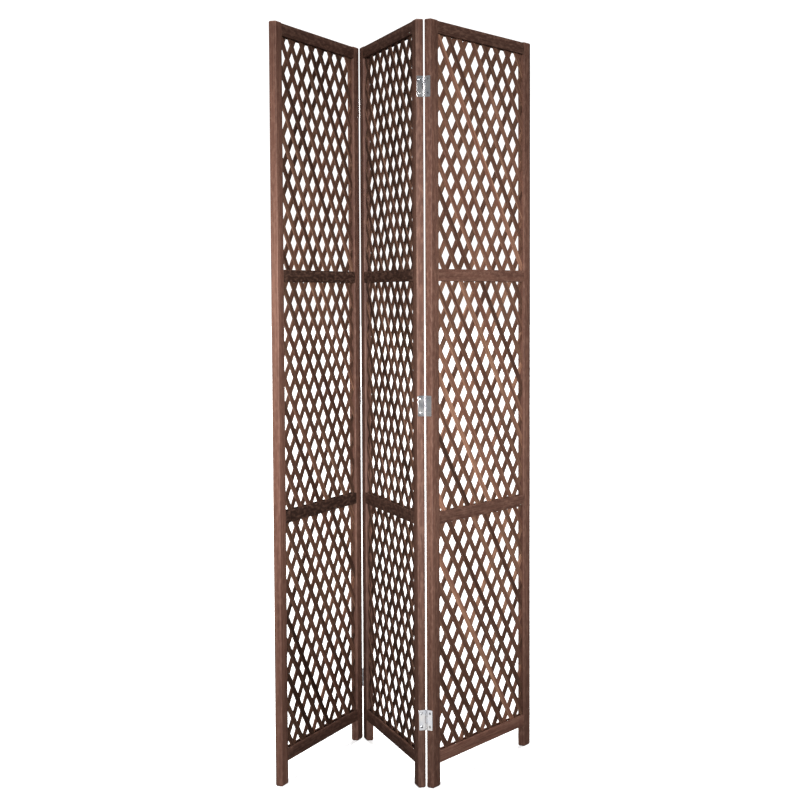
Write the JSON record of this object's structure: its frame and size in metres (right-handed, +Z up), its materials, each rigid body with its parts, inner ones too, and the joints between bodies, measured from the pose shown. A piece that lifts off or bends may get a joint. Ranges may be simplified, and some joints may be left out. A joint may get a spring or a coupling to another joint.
{
  "type": "folding lattice screen",
  "caption": "Free-standing folding room screen: slim dark-stained wooden frames filled with crossed-slat lattice, joined by small steel butt hinges.",
  "frame": {"origin": "on the floor, under the middle of the box round the screen as it stands at rest", "axes": "+Z up; the front faces -Y; X runs across the screen from the left panel to the right panel"},
  "size_m": [0.6154, 0.4416, 1.75],
  "materials": {
    "frame_wood": "dark walnut stain, satin",
    "lattice_wood": "dark walnut stain, thin and uneven, satin",
    "hinge_steel": "bright zinc plate"
  },
  "bodies": {
    "left_panel": {"left_panel_left_stile": "frame_wood", "left_panel_right_stile": "frame_wood", "left_panel_bottom_rail": "frame_wood", "left_panel_lower_rail": "frame_wood", "left_panel_upper_rail": "frame_wood", "left_panel_top_rail": "frame_wood", "left_panel_top_lattice": "lattice_wood", "left_panel_middle_lattice": "lattice_wood", "left_panel_bottom_lattice": "lattice_wood", "left_seam_lower_hinge_left_leaf": "hinge_steel", "left_seam_middle_hinge_left_leaf": "hinge_steel", "left_seam_upper_hinge_left_leaf": "hinge_steel"},
    "middle_panel": {"middle_panel_left_stile": "frame_wood", "middle_panel_right_stile": "frame_wood", "middle_panel_bottom_rail": "frame_wood", "middle_panel_lower_rail": "frame_wood", "middle_panel_upper_rail": "frame_wood", "middle_panel_top_rail": "frame_wood", "middle_panel_top_lattice": "lattice_wood", "middle_panel_middle_lattice": "lattice_wood", "middle_panel_bottom_lattice": "lattice_wood", "left_seam_lower_hinge_middle_leaf": "hinge_steel", "left_seam_lower_hinge_pin": "hinge_steel", "left_seam_middle_hinge_middle_leaf": "hinge_steel", "left_seam_middle_hinge_pin": "hinge_steel", "left_seam_upper_hinge_middle_leaf": "hinge_steel", "left_seam_upper_hinge_pin": "hinge_steel", "right_seam_lower_hinge_middle_leaf": "hinge_steel", "right_seam_lower_hinge_pin": "hinge_steel", "right_seam_middle_hinge_middle_leaf": "hinge_steel", "right_seam_middle_hinge_pin": "hinge_steel", "right_seam_upper_hinge_middle_leaf": "hinge_steel", "right_seam_upper_hinge_pin": "hinge_steel"},
    "right_panel": {"right_panel_left_stile": "frame_wood", "right_panel_right_stile": "frame_wood", "right_panel_bottom_rail": "frame_wood", "right_panel_lower_rail": "frame_wood", "right_panel_upper_rail": "frame_wood", "right_panel_top_rail": "frame_wood", "right_panel_top_lattice": "lattice_wood", "right_panel_middle_lattice": "lattice_wood", "right_panel_bottom_lattice": "lattice_wood", "right_seam_lower_hinge_right_leaf": "hinge_steel", "right_seam_middle_hinge_right_leaf": "hinge_steel", "right_seam_upper_hinge_right_leaf": "hinge_steel"}
  },
  "joints": [
    {"name": "left_seam_fold", "type": "hinge", "parent": "middle_panel", "child": "left_panel", "pos_m": [-0.11462, 0.21511, 0.875], "axis": [0, 0, 1], "range_deg": [-139.4, 40.6]},
    {"name": "right_seam_fold", "type": "hinge", "parent": "middle_panel", "child": "right_panel", "pos_m": [0.04026, -0.21226, 0.875], "axis": [0, 0, 1], "range_deg": [-128.4, 51.6]}
  ]
}
